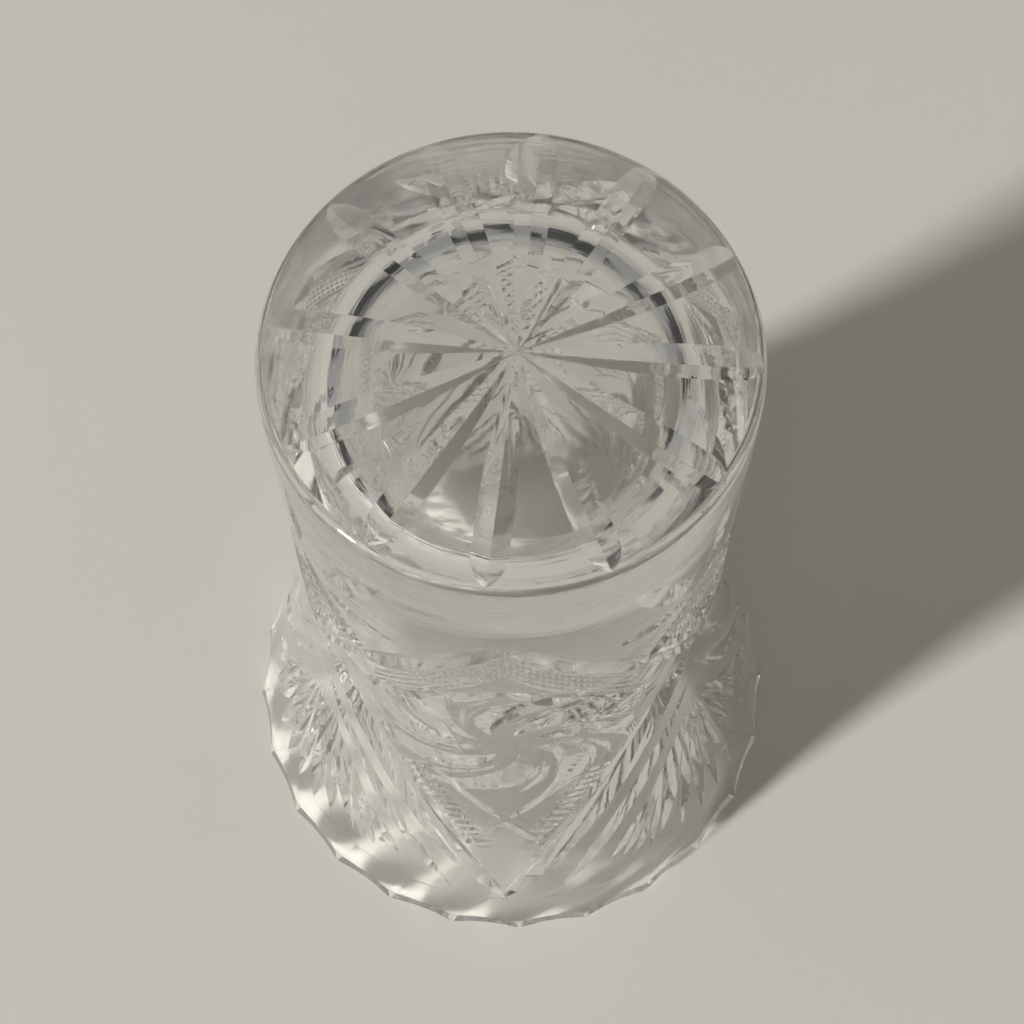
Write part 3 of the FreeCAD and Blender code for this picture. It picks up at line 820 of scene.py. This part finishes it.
class CRYSTAL_OT_material(bpy.types.Operator):
    """Gives the glass its crystal material, hangs it under the root body and hides the imported part."""

    bl_idname = "crystal.material"
    bl_label = "Crystal"

    def execute(self, context):
        glass = the_glass()
        panels = sizes().panels
        material = bpy.data.materials.new("crystal")
        material.use_nodes = True
        tree = material.node_tree
        shader = tree.nodes["Principled BSDF"]
        place = add_node(tree, "ShaderNodeTexCoord")
        x, y, level = Wire(tree, place.outputs["Object"]).split()
        per_metre = 1.0 / MM
        x, y, level = x * per_metre, y * per_metre, level * per_metre
        radius = x.maths("SQRT", x * x + y * y)
        direction = x.maths("ARCTAN2", x, 0.0 - y) * math.degrees(1.0)
        pitch = 360.0 / panels
        side = abs(x.maths("FLOORED_MODULO", direction + pitch / 2, pitch) - pitch / 2)
        outside = (radius - level.step(90.0, 10.0) * 5.0).step(32.8, 33.6)

        # turning and polishing leave fine streaks round the wall, plainest near the base
        ring = x.noise(x * 0.04, y * 0.04, level * 0.8, 1.0, 4.0)
        band = level.step(124.0, 133.0) * (1.0 - level.step(149.0, 149.8))
        streaks = ring * (0.010 + 0.130 * band)
        # fire polish leaves slow waves everywhere
        thick = 0.35 + 0.65 * level.step(122.0, 134.0) - 0.7 * level.step(147.6, 148.4)
        waves = (x.noise(x, y, level, 0.11, 1.0) * 0.10 + x.noise(x, y, level, 0.45, 2.0) * 0.006) * thick
        # the wheel leaves upright lines in the wide facet of the chevron
        top = 128.6 - side * 0.76
        facet = (top - level).step(-0.4, 0.6) * (level - top).step(-6.2, -5.0)
        facet = facet * (38.0 - side).step(0.0, 2.0) * outside
        lines = x.noise(direction * 1.6, level * 0.04, 0.0, 1.0, 2.0) * facet * 0.035
        # the rhomb at the foot of the panel is left ground
        reach = 10.0 + (RHOMB_LEVEL - level).step(-0.5, 0.5) * 6.5
        below = side / 9.6 + abs(level - RHOMB_LEVEL) / reach
        ground = (1.0 - below).step(0.0, 0.05) * outside
        grain = x.noise(x, y, level, 5.0, 3.0)
        height = streaks + waves + lines + grain * (0.0008 + 0.012 * ground)
        bump = height.node("ShaderNodeBump", "Normal", Strength=1.0, Distance=0.001, Height=height)
        bump.into(shader.inputs["Normal"])

        wear = x.noise(x, y, level, 0.09, 3.0).step(0.62, 0.80)
        hatched = x.node("ShaderNodeAttribute", "Fac", {"attribute_name": "ground"})
        rough = ground * (0.24 + 0.12 * grain) + hatched * 0.30 + wear * 0.004
        rough.into(shader.inputs["Roughness"])
        clear = (0.94, 0.938, 0.925, 1.0)
        tinted = (0.87, 0.87, 0.85, 1.0)
        shade = x.noise(x, y, level, 0.05, 2.0)
        colour = x.node("ShaderNodeMix", 2, {"data_type": "RGBA"}, _0=shade, _6=clear, _7=tinted)
        colour.into(shader.inputs["Base Color"])
        shader.inputs["IOR"].default_value = 1.54
        shader.inputs["Transmission Weight"].default_value = 1.0
        # the bright net on the floor is not traced: a pattern along the scallops lets
        # shadow rays through the flare and stands in for it
        path = add_node(tree, "ShaderNodeLightPath")
        count = sizes().thumb_count
        turn = direction - math.degrees(sizes().thumb_turn)
        across = abs(x.maths("FLOORED_MODULO", turn, 360.0 / count) * (count / 180.0) - 1.0)
        wobble = x.noise(x, y, level, 0.22, 2.0)
        oval = x.maths("SQRT", across * across * 1.25 + (level - 7.0) * (level - 7.0) * 0.020)
        web = (oval + wobble * 0.24).step(0.78, 1.06) * (1.0 - (level + wobble * 8.0).step(17.0, 25.0))
        through = Wire(tree, path.outputs["Is Shadow Ray"]) * web
        clear_light = add_node(tree, "ShaderNodeBsdfTransparent")
        ends = [Wire(tree, end.outputs[0]) for end in (shader, clear_light)]
        passed = x.node("ShaderNodeMixShader", 0, _0=through, _1=ends[0], _2=ends[1])
        passed.into(tree.nodes["Material Output"].inputs["Surface"])
        glass.data.materials.clear()
        glass.data.materials.append(material)
        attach(glass, "root")
        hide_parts("mixing_glass")
        return {"FINISHED"}


class CRYSTAL_OT_stage(bpy.types.Operator):
    """Sets up the floor, the light and the camera."""

    bl_idname = "crystal.stage"
    bl_label = "Stage"

    def execute(self, context):
        scene = context.scene
        unit_r = sizes().base_radius
        mesh = bpy.data.meshes.new("floor")
        half = 3.0
        low = -0.0001
        corners = [(-half, -half, low), (half, -half, low), (half, half, low), (-half, half, low)]
        mesh.from_pydata(corners, [], [(0, 1, 2, 3)])
        floor = bpy.data.objects.new("floor", mesh)
        scene.collection.objects.link(floor)
        paint = bpy.data.materials.new("floor")
        paint.use_nodes = True
        shader = paint.node_tree.nodes["Principled BSDF"]
        shader.inputs["Base Color"].default_value = (0.505, 0.484, 0.438, 1.0)
        shader.inputs["Roughness"].default_value = 0.9
        shader.inputs["Specular IOR Level"].default_value = 0.2
        # seen from below the floor is open, so that the mouth shows
        side = add_node(paint.node_tree, "ShaderNodeNewGeometry")
        open_floor = add_node(paint.node_tree, "ShaderNodeBsdfTransparent")
        below = Wire(paint.node_tree, side.outputs["Backfacing"])
        ends = [Wire(paint.node_tree, end.outputs[0]) for end in (shader, open_floor)]
        mixed = below.node("ShaderNodeMixShader", 0, _0=below, _1=ends[0], _2=ends[1])
        mixed.into(paint.node_tree.nodes["Material Output"].inputs["Surface"])
        mesh.materials.append(paint)
        key_data = bpy.data.lights.new("key", "AREA")
        key_data.shape = "DISK"
        key_data.size = 0.37
        key_data.energy = 175.0
        key = bpy.data.objects.new("key", key_data)
        azimuth = math.radians(212.0)
        rise = math.radians(38.0)
        reach = 4.0
        key.location = (
            reach * math.cos(rise) * math.cos(azimuth),
            reach * math.cos(rise) * math.sin(azimuth),
            reach * math.sin(rise) + AIM,
        )
        key.rotation_mode = "QUATERNION"
        key.rotation_quaternion = (Vector((0, 0, AIM)) - Vector(key.location)).to_track_quat("-Z", "Y")
        scene.collection.objects.link(key)
        world = bpy.data.worlds.new("studio")
        world.use_nodes = True
        back = world.node_tree.nodes["Background"]
        back.inputs["Color"].default_value = (1.0, 0.98, 0.94, 1.0)
        # a bright ceiling over dim walls with upright screens, which the facets mirror
        sky = add_node(world.node_tree, "ShaderNodeTexCoord")
        across, depth, up = Wire(world.node_tree, sky.outputs["Generated"]).split()
        ceiling = up.step(0.38, 0.85)
        bearing = across.maths("ARCTAN2", depth, across)
        screens = across.maths("SINE", bearing * 7.0 + up * 3.0).step(-0.15, 0.15)
        walls = (1.0 - ceiling) * (1.0 - 0.5 * depth.step(-0.3, 0.6)) * (0.03 + 0.44 * screens)
        above = up.step(-0.10, 0.02)
        room = above * (0.012 + 0.43 * ceiling + walls) + (1.0 - above) * 0.40
        # looked at directly, the room is a plain pale backdrop
        path = add_node(world.node_tree, "ShaderNodeLightPath")
        seen = Wire(world.node_tree, path.outputs["Is Camera Ray"])
        (seen * 0.55 + (1.0 - seen) * room).into(back.inputs["Strength"])
        scene.world = world
        camera_data = bpy.data.cameras.new("camera")
        camera_data.sensor_width = 36.0
        camera_data.lens = 98.44
        camera_data.clip_start = 0.01
        camera_data.clip_end = 20.0
        camera = bpy.data.objects.new("camera", camera_data)
        camera.location = (0.134 * unit_r, -4.5718 * unit_r, 14.0318 * unit_r)
        camera.rotation_euler = (math.pi / 2 - 1.1948, 0.0, 0.02858)
        scene.collection.objects.link(camera)
        scene.camera = camera
        scene.view_settings.view_transform = "Standard"
        # thick cut glass passes light on many times before it lets it out
        scene.cycles.max_bounces = 20
        scene.cycles.transmission_bounces = 20
        scene.cycles.glossy_bounces = 20
        scene.cycles.transparent_max_bounces = 4
        return {"FINISHED"}


STEPS = (
    CRYSTAL_OT_blank,
    CRYSTAL_OT_star,
    CRYSTAL_OT_thumbs,
    CRYSTAL_OT_frames,
    CRYSTAL_OT_leaves,
    CRYSTAL_OT_whirl,
    CRYSTAL_OT_hatching,
    CRYSTAL_OT_polish,
    CRYSTAL_OT_material,
    CRYSTAL_OT_stage,
)


class CRYSTAL_PT_panel(bpy.types.Panel):
    """Sizes and steps of the glass in the sidebar."""

    bl_idname = "CRYSTAL_PT_panel"
    bl_label = "Crystal"
    bl_space_type = "VIEW_3D"
    bl_region_type = "UI"
    bl_category = "Crystal"

    def draw(self, context):
        for name in CrystalSizes.__annotations__:
            self.layout.prop(context.scene.crystal_sizes, name)
        for step in STEPS:
            self.layout.operator(step.bl_idname)


CLASSES = (CrystalSizes, *STEPS, CRYSTAL_PT_panel)


def register():
    for item in CLASSES:
        bpy.utils.register_class(item)
    bpy.types.Scene.crystal_sizes = bpy.props.PointerProperty(type=CrystalSizes)


def unregister():
    del bpy.types.Scene.crystal_sizes
    for item in reversed(CLASSES):
        bpy.utils.unregister_class(item)


def main():
    register()
    for step in STEPS:
        family, name = step.bl_idname.split(".")
        if getattr(getattr(bpy.ops, family), name)() != {"FINISHED"}:
            raise RuntimeError("%s did not finish" % step.bl_label)


if __name__ == "__main__":
    main()
